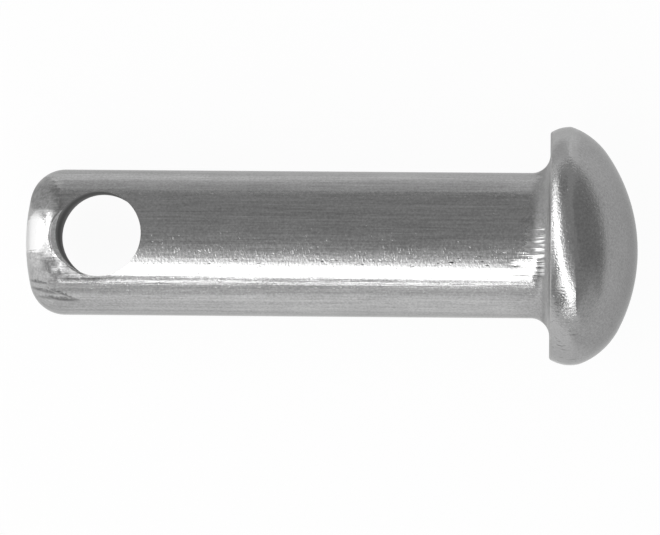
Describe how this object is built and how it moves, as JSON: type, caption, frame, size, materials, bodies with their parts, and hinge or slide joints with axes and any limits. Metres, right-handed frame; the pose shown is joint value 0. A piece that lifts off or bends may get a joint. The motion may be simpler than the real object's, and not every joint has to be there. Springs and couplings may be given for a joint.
{
  "type": "rowel pin",
  "caption": "Domed-head steel pin with a cotter hole across its rounded tip, the axle that a spur's rowel turns on.",
  "frame": {"origin": "centre of the head's bearing face, on the pin's axis", "axes": "+X along the pin's axis towards the head, +Z along the cotter hole, +Y the side towards which the hole is drilled off centre"},
  "size_m": [0.02, 0.0078, 0.0078],
  "materials": {
    "steel": "bare drawn steel, tumbled to a satin grey, with fine streaks along the shank"
  },
  "bodies": {
    "root": {"rowel_pin": "steel"}
  },
  "joints": []
}
